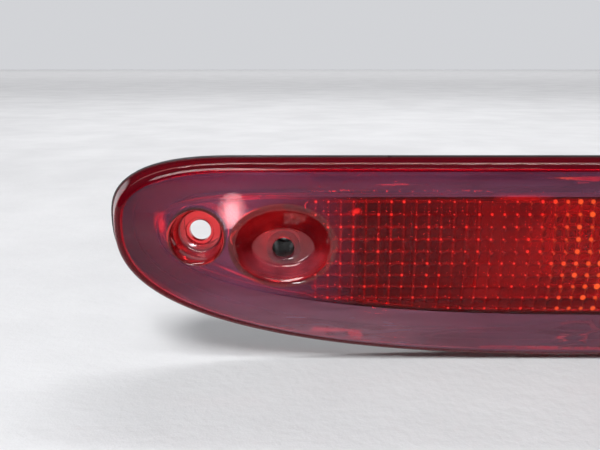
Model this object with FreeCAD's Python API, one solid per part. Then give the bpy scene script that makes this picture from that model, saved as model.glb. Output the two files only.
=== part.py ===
import FreeCAD, Part

import math
import os

os.makedirs("parts", exist_ok=True)

# High-level third brake light for a van's tail door, in millimetres.
#
# Frame: X runs along the lamp, -Y points out of the lens (rearwards on the vehicle) and +Z is up.
# The plane y = 0 is the vehicle's body panel. The origin is midway between the two outer fixing holes.

V = FreeCAD.Vector
INWARD = V(0, 1, 0)
SIDES = (-1, 1)

# ---- Driving dimensions -------------------------------------------------------------------------

# Outline: a straight top edge, superellipse upper corners and one long superellipse lower sweep.
LENGTH = 342.0
TIP_Z = 3.2  # level of the two tips above the fixing holes
RISE = 21.6  # tip level to top edge
DROP = 51.0  # tip level to lowest point
CORNER_LENGTH = 45.0  # each upper corner's length along X
CORNER_POWER = 2.66
SWEEP_POWER = 2.4
EDGE_STEPS, CORNER_STEPS, SWEEP_STEPS = 8, 12, 28  # points along each stretch

# Depths from the body panel, negative towards the front.
FRONT_Y = -20.5  # front-most line of the lens face
FLANGE_FRONT_Y = -4.0  # the lens stands on this face of the housing
PLATE_REAR_Y = -2.0
PANEL_Y = 0.0

# Lens
LENS_STEP = 1.0  # how far the housing flange stands proud of the lens
LENS_WALL = 2.5
FACE_RADIUS = 102.0  # the face is part of a cylinder along X
FACE_APEX_Z = -1.8
EDGE_RADIUS = 3.5
TAPER_HALF, TAPER_RISE, TAPER_DROP = 0.296, 0.044, 0.222  # side wall lean, mm per mm of depth
CHAMBER_HALF, CHAMBER_RISE, CHAMBER_DROP = 152.0, 9.7, 31.0  # outline of the light chamber
LENS_RIB = 1.2
LENS_RIB_REAR_Y = -13.0

# Outer fixings: stepped round screw wells moulded through the lens
WELL_X = 139.0
WELL_MOUTH_R, WELL_FLOOR_R = 8.8, 7.5
WELL_FLOOR_Y = -12.0
WELL_STEP_R, WELL_STEP_Y = 4.7, -10.6
FIXING_HOLE_R = 3.7
WELL_SEAT_Y = -8.0
WELL_WALL = 2.0
SKIRT_R, SKIRT_BORE_R = 9.3, 7.2
SKIRT_REAR_Y = -1.5

# Inner fixings: oval dishes in the lens with a long housing boss behind each
DISH_X, DISH_Z = 110.5, -2.5
DISH_RIM = (16.5, 13.2)  # half width and half height at the face
DISH_FLOOR = (10.5, 6.7)
DISH_FLOOR_Z = -5.6
DISH_FLOOR_Y = -12.5
DISH_HOLE_Z = -6.0
DISH_BACK_Y = -10.2
BOSS_R, BOSS_BORE_R = 6.0, 3.9
BOSS_REAR_Y = 14.0
BOSS_END_WALL = 2.0
BOSS_END_HOLE_R = 3.0
LENS_CLEARANCE = 0.4

# Housing
HOUSING_WALL = 2.0
CHAMBER_WALL = 1.5
CHAMBER_WALL_FRONT_Y = -12.6
LIP_INSET, LIP_T, LIP_FRONT_Y = 5.2, 1.2, -6.0
COLLAR_RING_R, COLLAR_RING_FRONT_Y = 11.5, -7.0  # round each well's skirt
CHANNEL_RIB = 1.0
CHANNEL_RIB_REAR_Y = -0.9
POD_HALF = 52.0
POD_CORNER = 8.0
POD_REAR_Y = 18.0
STIFFENER_T, STIFFENER_REAR_Y = 1.6, -0.5
STIFFENER_END_X = 98.0
STIFFENER_ROWS = (6.0, -7.4, -20.0)

# Light source, on one axis behind the middle of the chamber
BULB_Z = -7.4
BULB_TIP_Y = -9.0
GLOBE_R = 13.25
TIP_TO_PINS = 45.0
GLASS_T = 0.7
NECK_R = 6.8
CAP_R, CAP_T = 7.62, 0.4
CAP_FRONT, CAP_REAR = -11.0, 6.0  # from the pins
PIN_R, PIN_TIP_R = 1.0, 8.5
GLASS_IN_CAP = 3.0  # how far the neck and the stem reach into the cap
GLOBE_END_ANGLE = 50.0  # degrees from the globe's widest circle to the start of its neck
STEM_FIT = 0.05
STEM_FOOT_H, STEM_SHOULDER_H, STEM_SHOULDER_R = 1.5, 6.0, 2.0
STEM_TIP_H, STEM_TIP_R = 13.0, 1.6
LEAD_R, LEAD_X, LEAD_END_X, LEAD_IN_STEM = 0.3, 2.6, 3.2, 8.0
FILAMENT_R, FILAMENT_WIRE_R, FILAMENT_PITCH, FILAMENT_TURNS = 0.6, 0.14, 0.6, 10
FILAMENT_LIFT = 0.6  # how far behind the globe's centre the leads end
INSULATOR_DEPTH, INSULATOR_RISE, INSULATOR_END_R = 2.5, 0.9, 3.4
SOLDER_RISE = 0.7
BULB_TRAVEL = 2.0

# Reflector
REFLECTOR_T = 1.5
REFLECTOR_HOLE_R, REFLECTOR_HOLE_Y = 14.6, 11.0
BOWL_R, BOWL_RIM_Y = 45.0, -9.0
BOWL_CORNER_R = 49.5
BOWL_HALF_HEIGHT = 17.4
WING_END_X, WING_FACETS = 90.0, 5
WING_BACK_Y, WING_BASE_Y = -5.2, -6.5
FACET_RISE, FACET_RUN, FACET_STEP = 4.0, 3.4, 0.4
WING_GAP = 2.0
SCREW_X, SCREW_ROWS = 68.0, (0.5, -14.5)
SCREW_R, SCREW_HEAD_R, SCREW_HEAD_H, SCREW_DRIVE_R = 1.4, 2.8, 1.5, 1.0
SCREW_TIP_Y = -7.4

# Bulb holder: quarter-turn body with a steel sleeve for the bulb
HOLDER_TURN = 45.0  # degrees from locked to free
NECK_HOLE_R = 15.8
COLLAR_R, COLLAR_BORE_R = 15.5, 13.6
COLLAR_FRONT_Y = 13.4
LUG_R, LUG_REAR_Y, LUG_ANGLE = 18.0, 15.7, 24.0
LUG_CENTRES = (90.0, 210.0, 330.0)
NOTCH_CLEARANCE_R, NOTCH_ANGLE = 0.4, 30.0
SHROUD_R, SHROUD_BORE_R, SHROUD_REAR_Y = 20.3, 18.7, 22.0
HOLDER_FLANGE_R, HOLDER_FLANGE_Y, HOLDER_FLANGE_T = 18.3, 19.8, 2.5
SEAL_GAP = 0.2
HUB_R, HUB_BORE_R = 10.9, 8.95
HUB_FLOOR_Y, HUB_REAR_Y = 50.2, 52.7
GRIP_REAR_Y, GRIP_R, GRIP_T = 34.0, 17.2, 3.0
SLEEVE_R, SLEEVE_T = 8.3, 0.55
SLEEVE_FRONT_Y, SLEEVE_REAR_Y = 24.0, 46.5
SLEEVE_FLANGE_R, SLEEVE_FLANGE_T = 8.9, 0.5
SLOT_W, SLOT_SWEEP = 2.4, 25.0
PLATE_FRONT_Y, PLATE_DISC_REAR_Y, PLATE_DISC_R = 43.8, 45.6, 7.3
PLATE_NOTCH_GAP = 0.35
RIVET_R, RIVET_FACE_R, RIVET_HEAD_R, RIVET_HEAD_H = 1.75, 3.0, 2.6, 0.6
SPRING_R, SPRING_WIRE_R, SPRING_PITCH, SPRING_TURNS = 4.3, 0.25, 1.65, 2.0
SPRING_END_GAP = 0.15
SPRING_SEAT_R, SPRING_SEAT_T = 5.0, 0.5
BLADE_X, BLADE_T, BLADE_W, BLADE_END_Y = 5.6, 0.8, 2.8, 60.0
HEADER_REAR_Y = 63.5
HEADER_OUTER = (20.0, 11.0)
HEADER_INNER = (17.0, 8.0)

# Seals and vents
GASKET_INSET, GASKET_W = 3.0, 4.6
BOSS_SEAL_R = 9.6
VENT_X = 38.0
VENT_R, VENT_BORE_R, VENT_REAR_Y = 3.0, 1.6, 24.0
VENT_CAP_R, VENT_CAP_FRONT_Y, VENT_CAP_REAR_Y = 4.8, 19.6, 26.0
VENT_CAP_FIT = 0.06

PIN_Y = BULB_TIP_Y + TIP_TO_PINS
GLOBE_Y = BULB_TIP_Y + GLOBE_R
CAP_FRONT_Y = PIN_Y + CAP_FRONT
CAP_REAR_Y = PIN_Y + CAP_REAR

# ---- Shared shapes ------------------------------------------------------------------------------


def outline(y, half, rise, drop):
    """The lamp's closed outline at depth y, from its half length and its heights about the tips."""
    straight, corner, sweep = [], [], []
    for step in range(EDGE_STEPS):
        straight.append(V((half - CORNER_LENGTH) * (2 * step / EDGE_STEPS - 1), y, TIP_Z + rise))
    for step in range(CORNER_STEPS + 1):
        turn = math.pi / 2 * step / CORNER_STEPS
        across = abs(math.sin(turn)) ** (2 / CORNER_POWER)
        up = abs(math.cos(turn)) ** (2 / CORNER_POWER)
        corner.append(V(half - CORNER_LENGTH * (1 - across), y, TIP_Z + rise * up))
    for step in range(1, SWEEP_STEPS):
        turn = math.pi * step / SWEEP_STEPS
        across = math.copysign(abs(math.cos(turn)) ** (2 / SWEEP_POWER), math.cos(turn))
        down = abs(math.sin(turn)) ** (2 / SWEEP_POWER)
        sweep.append(V(half * across, y, TIP_Z - drop * down))
    far_corner = [V(-p.x, p.y, p.z) for p in reversed(corner[1:])]
    spline = Part.BSplineCurve()
    spline.interpolate(Points=straight + corner + sweep + far_corner, PeriodicFlag=True)
    return Part.Wire(spline.toShape())


def flange_outline(y, inset):
    return outline(y, LENGTH / 2 - inset, RISE - inset, DROP - inset)


def lens_outline(y, inset):
    """The lens's side wall leans in towards the front, most at the tips and least along the top."""
    forward = FLANGE_FRONT_Y - y
    inset = inset + LENS_STEP
    return outline(
        y,
        LENGTH / 2 - inset - TAPER_HALF * forward,
        RISE - inset - TAPER_RISE * forward,
        DROP - inset - TAPER_DROP * forward,
    )


def chamber_outline(y, inset):
    return outline(y, CHAMBER_HALF - inset, CHAMBER_RISE - inset, CHAMBER_DROP - inset)


def slab(make_outline, inset, front, rear):
    """A flat plate with the given outline, between two depths."""
    return Part.Face(make_outline(front, inset)).extrude(V(0, rear - front, 0))


def ring(make_outline, inset, width, front, rear):
    return slab(make_outline, inset, front, rear).cut(slab(make_outline, inset + width, front, rear))


def disc(radius, front, rear, x=0.0, z=0.0):
    return Part.makeCylinder(radius, rear - front, V(x, front, z), INWARD)


def tube(radius, bore, front, rear, x=0.0, z=0.0):
    return disc(radius, front, rear, x, z).cut(disc(bore, front, rear, x, z))


def turned(profile, x=0.0, z=0.0):
    """A solid of revolution about a Y axis through (x, z), from (radius, y) points."""
    points = [V(x + radius, y, z) for radius, y in profile]
    face = Part.Face(Part.makePolygon(points + [points[0]]))
    return face.revolve(V(x, 0, z), INWARD, 360)


def block(x0, x1, y0, y1, z0, z1):
    return Part.makeBox(x1 - x0, y1 - y0, z1 - z0, V(x0, y0, z0))


def rounded_block(half_x, half_z, corner, y0, y1, z=0.0):
    solid = block(-half_x, half_x, y0, y1, z - half_z, z + half_z)
    edges = [e for e in solid.Edges if abs(e.tangentAt(e.FirstParameter).y) > 0.5]
    return solid.makeFillet(corner, edges)


def sector(radius, bore, front, rear, centre, angle, z):
    """Part of a tube about the bulb's axis. centre and angle are in degrees, counted from +X."""
    wedge = Part.makeCylinder(radius, rear - front, V(0, 0, 0), V(0, 0, 1), angle)
    wedge = wedge.cut(Part.makeCylinder(bore, rear - front, V(0, 0, 0), V(0, 0, 1), 360))
    wedge.rotate(V(0, 0, 0), V(0, 0, 1), centre - angle / 2)
    wedge.rotate(V(0, 0, 0), V(1, 0, 0), 90)
    wedge.translate(V(0, rear, z))
    return wedge


def coil(radius, wire_r, pitch, turns, centre, axis):
    """Round wire wound from centre along axis in half turns, each half of a ring tipped by its rise."""
    half_turns = []
    for step in range(int(2 * turns)):
        side = 1 if step % 2 == 0 else -1
        start = V(side * radius, 0, pitch / 2 * step)
        end = V(-side * radius, 0, pitch / 2 * (step + 1))
        tangent = V(0, side, 0)
        wire_end = Part.Face(Part.Wire(Part.makeCircle(wire_r, start, tangent)))
        middle = (start + end) * 0.5
        half_turns.append(wire_end.revolve(middle, (start - middle).cross(tangent), 180))
    solid = half_turns[0].fuse(half_turns[1:]).removeSplitter().Solids[0]
    solid.Placement = FreeCAD.Placement(centre, FreeCAD.Rotation(V(0, 0, 1), axis))
    return solid


def oval(half_x, half_z, x, y, z):
    ellipse = Part.Ellipse(V(x, y, z), half_x, half_z)
    ellipse.Axis = V(0, -1, 0)
    ellipse.XAxis = V(1, 0, 0)
    return Part.Wire(ellipse.toShape())


def dish(x, wall, front, rear):
    """The tapered oval of a dish, grown by wall, between two depths."""

    def section(y):
        part = (y - FRONT_Y) / (DISH_FLOOR_Y - FRONT_Y)
        half_x = DISH_RIM[0] + (DISH_FLOOR[0] - DISH_RIM[0]) * part
        half_z = DISH_RIM[1] + (DISH_FLOOR[1] - DISH_RIM[1]) * part
        z = DISH_Z + (DISH_FLOOR_Z - DISH_Z) * part
        return oval(half_x + wall, half_z + wall, x, y, z)

    return Part.makeLoft([section(front), section(rear)], True, True)


def face_cylinder(inset):
    radius = FACE_RADIUS - inset
    return Part.makeCylinder(radius, 2 * LENGTH, V(-LENGTH, FRONT_Y + FACE_RADIUS, FACE_APEX_Z), V(1, 0, 0))


# ---- Lens ---------------------------------------------------------------------------------------


def lens_block(inset, rear):
    """The space inside the lens's side walls and face, set in by inset."""
    wires = [lens_outline(rear, inset), lens_outline(FRONT_Y - EDGE_RADIUS, inset)]
    return Part.makeLoft(wires, True, True).common(face_cylinder(inset))


def rounded_front(solid):
    """Rounds the edges where the side walls meet the face."""
    axis_y = FRONT_Y + FACE_RADIUS

    def on_face(vertex):
        return abs(math.hypot(vertex.Y - axis_y, vertex.Z - FACE_APEX_Z) - FACE_RADIUS) < 0.01

    edges = [e for e in solid.Edges if all(on_face(v) for v in e.Vertexes)]
    return solid.makeFillet(EDGE_RADIUS, edges)


def well_cup(x):
    profile = [
        (0, FRONT_Y - 1),
        (WELL_MOUTH_R + WELL_WALL, FRONT_Y - 1),
        (SKIRT_R, WELL_SEAT_Y),
        (SKIRT_R, SKIRT_REAR_Y),
        (0, SKIRT_REAR_Y),
    ]
    return turned(profile, x)


def well_space(x):
    lean = (WELL_MOUTH_R - WELL_FLOOR_R) / (WELL_FLOOR_Y - FRONT_Y)
    front = FRONT_Y - 1
    profile = [
        (0, front),
        (WELL_MOUTH_R + lean, front),
        (WELL_FLOOR_R, WELL_FLOOR_Y),
        (WELL_STEP_R, WELL_FLOOR_Y),
        (WELL_STEP_R, WELL_STEP_Y),
        (FIXING_HOLE_R, WELL_STEP_Y),
        (FIXING_HOLE_R, WELL_SEAT_Y),
        (SKIRT_BORE_R, WELL_SEAT_Y),
        (SKIRT_BORE_R, SKIRT_REAR_Y + 1),
        (0, SKIRT_REAR_Y + 1),
    ]
    return turned(profile, x)


def make_lens():
    outer = rounded_front(lens_block(0, FLANGE_FRONT_Y))
    shell = outer.cut(lens_block(LENS_WALL, FLANGE_FRONT_Y + 1))
    rib = ring(chamber_outline, -LENS_RIB / 2, LENS_RIB, FRONT_Y, LENS_RIB_REAR_Y)
    added, removed = [rib.common(outer)], []
    for side in SIDES:
        x = side * DISH_X
        cup = well_cup(side * WELL_X)
        skirt = disc(SKIRT_R + 1, FLANGE_FRONT_Y, SKIRT_REAR_Y, side * WELL_X)
        added += [cup.common(outer), cup.common(skirt)]
        added.append(dish(x, LENS_WALL, FRONT_Y - 1, DISH_BACK_Y).common(outer))
        removed += [well_space(side * WELL_X), dish(x, 0, FRONT_Y - 1, DISH_FLOOR_Y)]
        removed.append(disc(FIXING_HOLE_R, FRONT_Y, FLANGE_FRONT_Y, x, DISH_HOLE_Z))
    return shell.fuse(added).cut(removed).removeSplitter()


# ---- Housing ------------------------------------------------------------------------------------


def pod(wall, front, rear):
    half_z = (CHAMBER_RISE + CHAMBER_DROP) / 2 - CHAMBER_WALL + wall
    return rounded_block(POD_HALF - HOUSING_WALL + wall, half_z, POD_CORNER + wall, front, rear, BULB_Z)


def bayonet_opening():
    """The keyhole in the pod's rear wall. The notches free the lugs after a quarter turn."""
    front, rear = POD_REAR_Y - 2 * HOUSING_WALL, POD_REAR_Y
    opening = disc(NECK_HOLE_R, front, rear, 0, BULB_Z)
    for centre in LUG_CENTRES:
        freed = centre - HOLDER_TURN
        notch_r = LUG_R + NOTCH_CLEARANCE_R
        opening = opening.fuse(sector(notch_r, COLLAR_BORE_R, front, rear, freed, NOTCH_ANGLE, BULB_Z))
    return opening


def stiffeners(side):
    solids = []
    for z in STIFFENER_ROWS:
        x0, x1 = sorted((side * (POD_HALF - 1), side * STIFFENER_END_X))
        rib = block(x0, x1, PLATE_REAR_Y, STIFFENER_REAR_Y, z - STIFFENER_T / 2, z + STIFFENER_T / 2)
        solids.append(rib)
    return solids


def housing_walls():
    """Everything that stands on the housing's plate, front and rear."""
    walls = [
        ring(lens_outline, LIP_INSET, LIP_T, LIP_FRONT_Y, FLANGE_FRONT_Y),
        ring(chamber_outline, 0, CHAMBER_WALL, CHAMBER_WALL_FRONT_Y, FLANGE_FRONT_Y),
        pod(HOUSING_WALL, FLANGE_FRONT_Y, POD_REAR_Y),
        disc(SHROUD_R, POD_REAR_Y, SHROUD_REAR_Y, 0, BULB_Z),
    ]
    for inset in (GASKET_INSET - CHANNEL_RIB, GASKET_INSET + GASKET_W):
        walls.append(ring(flange_outline, inset, CHANNEL_RIB, PLATE_REAR_Y, CHANNEL_RIB_REAR_Y))
    for side in SIDES:
        walls.append(disc(VENT_R, POD_REAR_Y, VENT_REAR_Y, side * VENT_X, BULB_Z))
        walls.append(disc(COLLAR_RING_R, COLLAR_RING_FRONT_Y, FLANGE_FRONT_Y, side * WELL_X))
        walls += stiffeners(side)
    return walls


def housing_spaces():
    spaces = [
        pod(0, FLANGE_FRONT_Y - 1, POD_REAR_Y - HOUSING_WALL),
        disc(SHROUD_BORE_R, POD_REAR_Y, SHROUD_REAR_Y, 0, BULB_Z),
        bayonet_opening(),
    ]
    skirt_r, cup_r = SKIRT_R + LENS_CLEARANCE, WELL_MOUTH_R + WELL_WALL + LENS_CLEARANCE
    profile = [(0, FRONT_Y), (cup_r, FRONT_Y), (skirt_r, WELL_SEAT_Y), (skirt_r, 0), (0, 0)]
    for side in SIDES:
        spaces.append(turned(profile, side * WELL_X))
        spaces.append(dish(side * DISH_X, LENS_WALL + LENS_CLEARANCE, FRONT_Y - 1, DISH_BACK_Y))
        spaces.append(disc(VENT_BORE_R, 0, VENT_REAR_Y, side * VENT_X, BULB_Z))
        for z in SCREW_ROWS:
            spaces.append(disc(SCREW_R + 0.1, FLANGE_FRONT_Y, PLATE_REAR_Y, side * SCREW_X, z))
    return spaces


def make_housing():
    plate = slab(flange_outline, 0, FLANGE_FRONT_Y, PLATE_REAR_Y)
    bosses, bores = [], []
    bore_end = BOSS_REAR_Y - BOSS_END_WALL
    for side in SIDES:
        x = side * DISH_X
        bosses.append(disc(BOSS_R, DISH_BACK_Y, BOSS_REAR_Y, x, DISH_HOLE_Z))
        bores.append(disc(BOSS_BORE_R, DISH_BACK_Y, bore_end, x, DISH_HOLE_Z))
        bores.append(disc(BOSS_END_HOLE_R, bore_end, BOSS_REAR_Y, x, DISH_HOLE_Z))
    housing = plate.fuse(housing_walls()).cut(housing_spaces())
    return housing.fuse(bosses).cut(bores).removeSplitter()


# ---- Reflector ----------------------------------------------------------------------------------


def bowl_y(radius):
    steepness = (REFLECTOR_HOLE_Y - BOWL_RIM_Y) / (BOWL_R**2 - REFLECTOR_HOLE_R**2)
    return REFLECTOR_HOLE_Y - steepness * (radius**2 - REFLECTOR_HOLE_R**2)


def bowl():
    """A thin paraboloid about the bulb's axis, cut flat above and below."""
    steps = 6
    radii = [REFLECTOR_HOLE_R + (BOWL_CORNER_R - REFLECTOR_HOLE_R) * i / steps for i in range(steps + 1)]
    front = [V(radius, bowl_y(radius), BULB_Z) for radius in radii]
    rear = [p + V(0, REFLECTOR_T, 0) for p in front]
    edges = []
    for points in (front, rear):
        spline = Part.BSplineCurve()
        spline.interpolate(points)
        edges.append(spline.toShape())
    edges.append(Part.makeLine(front[0], rear[0]))
    edges.append(Part.makeLine(front[-1], rear[-1]))
    face = Part.Face(Part.Wire(Part.__sortEdges__(edges)))
    shell = face.revolve(V(0, 0, BULB_Z), INWARD, 360)
    low, high = BULB_Z - BOWL_HALF_HEIGHT, BULB_Z + BOWL_HALF_HEIGHT
    window = block(-BOWL_R - 1, BOWL_R + 1, FRONT_Y, POD_REAR_Y, low, high)
    return shell.common(window)


def shelf(side):
    """The flat strip that closes the bowl above or below and follows its curve at the back."""
    z0 = BULB_Z + side * BOWL_HALF_HEIGHT
    z1 = z0 - side * REFLECTOR_T
    half = BOWL_R + 1
    steps = 12
    xs = [half * (2 * i / steps - 1) for i in range(steps + 1)]
    rear = [V(x, bowl_y(math.hypot(x, BOWL_HALF_HEIGHT)) + REFLECTOR_T / 2, min(z0, z1)) for x in xs]
    front_y = BOWL_RIM_Y - REFLECTOR_T
    points = rear + [V(half, front_y, min(z0, z1)), V(-half, front_y, min(z0, z1)), rear[0]]
    return Part.Face(Part.makePolygon(points)).extrude(V(0, 0, REFLECTOR_T))


def wing(side):
    """A flat back with a row of slanted facets that throw the bulb's light forwards."""
    pitch = (WING_END_X - BOWL_R - REFLECTOR_T) / WING_FACETS
    land = BOWL_R + REFLECTOR_T
    points = [
        V(side * (BOWL_R - 0.5), WING_BACK_Y, 0),
        V(side * (BOWL_R - 0.5), BOWL_RIM_Y + 0.4, 0),
        V(side * land, BOWL_RIM_Y + 0.4, 0),
        V(side * land, WING_BASE_Y, 0),
    ]
    for i in range(WING_FACETS):
        x, y = land + pitch * i, WING_BASE_Y - FACET_STEP * i
        points.append(V(side * x, y, 0))
        points.append(V(side * (x + FACET_RUN), y - FACET_RISE, 0))
    points.append(V(side * WING_END_X, WING_BASE_Y - FACET_STEP * WING_FACETS, 0))
    points.append(V(side * WING_END_X, WING_BACK_Y, 0))
    points = [V(p.x, p.y, -LENGTH / 4) for p in points]
    facets = Part.Face(Part.makePolygon(points + [points[0]])).extrude(V(0, 0, LENGTH / 2))
    return facets.common(slab(chamber_outline, WING_GAP, FRONT_Y, 0))


def make_reflector():
    reflector = bowl()
    for side in SIDES:
        reflector = reflector.fuse(shelf(side))
        reflector = reflector.fuse(wing(side))
    for side in SIDES:
        for z in SCREW_ROWS:
            post = disc(2 * SCREW_R, WING_BACK_Y - 0.1, FLANGE_FRONT_Y, side * SCREW_X, z)
            reflector = reflector.fuse(post)
            reflector = reflector.cut(disc(SCREW_R, SCREW_TIP_Y, FLANGE_FRONT_Y, side * SCREW_X, z))
    return reflector.removeSplitter()


def make_reflector_screws():
    screws = []
    for side in SIDES:
        for z in SCREW_ROWS:
            shank = disc(SCREW_R, SCREW_TIP_Y, PLATE_REAR_Y, side * SCREW_X, z)
            head = disc(SCREW_HEAD_R, PLATE_REAR_Y, PLATE_REAR_Y + SCREW_HEAD_H, side * SCREW_X, z)
            drive = disc(SCREW_DRIVE_R, PLATE_REAR_Y + 0.6, PLATE_REAR_Y + SCREW_HEAD_H, side * SCREW_X, z)
            screws.append(shank.fuse(head).cut(drive))
    return Part.makeCompound(screws)


# ---- Seals and vents ----------------------------------------------------------------------------


def make_gasket():
    return ring(flange_outline, GASKET_INSET, GASKET_W, PLATE_REAR_Y, PANEL_Y)


def make_well_seal(side):
    return tube(SKIRT_R, SKIRT_BORE_R, SKIRT_REAR_Y, PANEL_Y, side * WELL_X)


def make_boss_seal(side):
    return tube(BOSS_SEAL_R, BOSS_R, PLATE_REAR_Y, PANEL_Y, side * DISH_X, DISH_HOLE_Z)


def make_vent_cap(side):
    fit = VENT_R + VENT_CAP_FIT
    profile = [
        (fit, VENT_CAP_FRONT_Y),
        (VENT_CAP_R, VENT_CAP_FRONT_Y),
        (VENT_CAP_R, VENT_CAP_REAR_Y - 1),
        (VENT_CAP_R - 1, VENT_CAP_REAR_Y),
        (0, VENT_CAP_REAR_Y),
        (0, VENT_REAR_Y + 0.4),
        (fit, VENT_REAR_Y + 0.4),
    ]
    return turned(profile, side * VENT_X, BULB_Z)


# ---- Bulb ---------------------------------------------------------------------------------------


def glass_skin(inset):
    """The bulb's solid of revolution: a globe that runs into a neck through a hollow curve."""
    globe, neck = GLOBE_R - inset, NECK_R - inset
    leave = math.radians(GLOBE_END_ANGLE)
    join = V(globe * math.cos(leave), GLOBE_Y + globe * math.sin(leave), 0)
    middle = V(globe * math.cos(leave / 3), GLOBE_Y + globe * math.sin(leave / 3), 0)
    tip = V(0, GLOBE_Y - globe, 0)
    waist, end = V(neck, CAP_FRONT_Y - 1.5, 0), V(neck, CAP_FRONT_Y + GLASS_IN_CAP, 0)
    blend = Part.BSplineCurve()
    leaving = V(-math.sin(leave), math.cos(leave), 0)
    blend.interpolate(Points=[join, waist], InitialTangent=leaving, FinalTangent=INWARD)
    edges = [
        Part.Arc(tip, middle, join).toShape(),
        blend.toShape(),
        Part.makeLine(waist, end),
        Part.makeLine(end, V(0, end.y, 0)),
        Part.makeLine(V(0, end.y, 0), tip),
    ]
    solid = Part.Face(Part.Wire(edges)).revolve(V(0, 0, 0), INWARD, 360)
    solid.translate(V(0, 0, BULB_Z))
    return solid


def make_bulb_glass():
    rear = disc(NECK_R - GLASS_T, CAP_FRONT_Y, CAP_FRONT_Y + GLASS_IN_CAP, 0, BULB_Z)
    return glass_skin(0).cut(glass_skin(GLASS_T)).cut(rear)


def make_bulb_stem():
    """The glass foot sealed in the neck, drawn out to a stalk that carries the wires."""
    end = CAP_FRONT_Y + GLASS_IN_CAP
    foot = NECK_R - GLASS_T - STEM_FIT
    profile = [
        (0, end),
        (foot, end),
        (foot, end - STEM_FOOT_H),
        (STEM_SHOULDER_R, end - STEM_SHOULDER_H),
        (STEM_TIP_R, end - STEM_TIP_H),
        (0, end - STEM_TIP_H - 0.6),
    ]
    return turned(profile, 0, BULB_Z)


def make_bulb_supports():
    """The two lead wires, from the stem's foot up to the filament's ends."""
    knee_y = CAP_FRONT_Y - 8.5
    stem = make_bulb_stem()
    leads = []
    for side in SIDES:
        foot = V(side * LEAD_X, knee_y + LEAD_IN_STEM, BULB_Z)
        knee = V(side * LEAD_X, knee_y, BULB_Z)
        top = V(side * LEAD_END_X, GLOBE_Y + FILAMENT_LIFT, BULB_Z)
        lead = Part.makeSphere(LEAD_R, knee)
        for a, b in ((foot, knee), (knee, top)):
            lead = lead.fuse(Part.makeCylinder(LEAD_R, (b - a).Length, a, b - a))
        leads.append(lead.cut(stem))
    return Part.makeCompound(leads)


def make_bulb_filament():
    y = GLOBE_Y + FILAMENT_LIFT - 1.1
    start = V(-FILAMENT_PITCH * FILAMENT_TURNS / 2, y, BULB_Z)
    return coil(FILAMENT_R, FILAMENT_WIRE_R, FILAMENT_PITCH, FILAMENT_TURNS, start, V(1, 0, 0))


def make_bulb_cap():
    cap = tube(CAP_R, CAP_R - CAP_T, CAP_FRONT_Y, CAP_REAR_Y, 0, BULB_Z)
    pin_root = CAP_R - CAP_T / 2
    for side in SIDES:
        base = V(side * pin_root, PIN_Y, BULB_Z)
        cap = cap.fuse(Part.makeCylinder(PIN_R, PIN_TIP_R - pin_root, base, V(side, 0, 0)))
    return cap


def make_bulb_insulator():
    bore = CAP_R - CAP_T
    profile = [
        (0, CAP_REAR_Y - INSULATOR_DEPTH),
        (bore, CAP_REAR_Y - INSULATOR_DEPTH),
        (bore, CAP_REAR_Y),
        (INSULATOR_END_R, CAP_REAR_Y + INSULATOR_RISE),
        (0, CAP_REAR_Y + INSULATOR_RISE),
    ]
    return turned(profile, 0, BULB_Z)


def make_bulb_contact():
    """A dome of solder on the insulator."""
    front = CAP_REAR_Y + INSULATOR_RISE
    rear = front + SOLDER_RISE
    return turned([(0, front), (2.2, front), (1.9, rear - 0.2), (1.0, rear), (0, rear)], 0, BULB_Z)


# ---- Bulb holder --------------------------------------------------------------------------------


def make_contact_plate():
    """A disc that slides in the hub, with a notch that clears the earth terminal."""
    plate = tube(PLATE_DISC_R, RIVET_R, PLATE_FRONT_Y, PLATE_DISC_REAR_Y, 0, BULB_Z)
    half_w = BLADE_W / 2 + PLATE_NOTCH_GAP
    notch_x = BLADE_X - BLADE_T / 2 - PLATE_NOTCH_GAP
    notch = block(
        notch_x, PLATE_DISC_R + 1, PLATE_FRONT_Y - 1, PLATE_DISC_REAR_Y + 1, BULB_Z - half_w, BULB_Z + half_w
    )
    return plate.cut(notch)


def make_live_contact():
    """A brass rivet in the insulating plate, which the bulb's end contact presses."""
    front = CAP_REAR_Y + INSULATOR_RISE + SOLDER_RISE
    profile = [
        (0, front),
        (RIVET_FACE_R, front),
        (RIVET_FACE_R, PLATE_FRONT_Y),
        (RIVET_R, PLATE_FRONT_Y),
        (RIVET_R, PLATE_DISC_REAR_Y),
        (RIVET_HEAD_R, PLATE_DISC_REAR_Y),
        (RIVET_HEAD_R, PLATE_DISC_REAR_Y + RIVET_HEAD_H),
        (0, PLATE_DISC_REAR_Y + RIVET_HEAD_H),
    ]
    return turned(profile, 0, BULB_Z)


def make_contact_spring():
    start = PLATE_DISC_REAR_Y + SPRING_WIRE_R + SPRING_END_GAP
    return coil(SPRING_R, SPRING_WIRE_R, SPRING_PITCH, SPRING_TURNS, V(0, start, BULB_Z), INWARD)


def blade(side, front):
    x0, x1 = sorted((side * (BLADE_X - BLADE_T / 2), side * (BLADE_X + BLADE_T / 2)))
    return block(x0, x1, front, BLADE_END_Y, BULB_Z - BLADE_W / 2, BULB_Z + BLADE_W / 2)


def make_terminal_live():
    seat_front = HUB_FLOOR_Y - SPRING_SEAT_T
    seat = disc(SPRING_SEAT_R, seat_front, HUB_FLOOR_Y, 0, BULB_Z)
    half_w = BLADE_W / 2
    tab = block(-BLADE_X, 1 - SPRING_SEAT_R, seat_front, HUB_FLOOR_Y, BULB_Z - half_w, BULB_Z + half_w)
    return seat.fuse(tab).fuse(blade(-1, seat_front)).removeSplitter()


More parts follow.
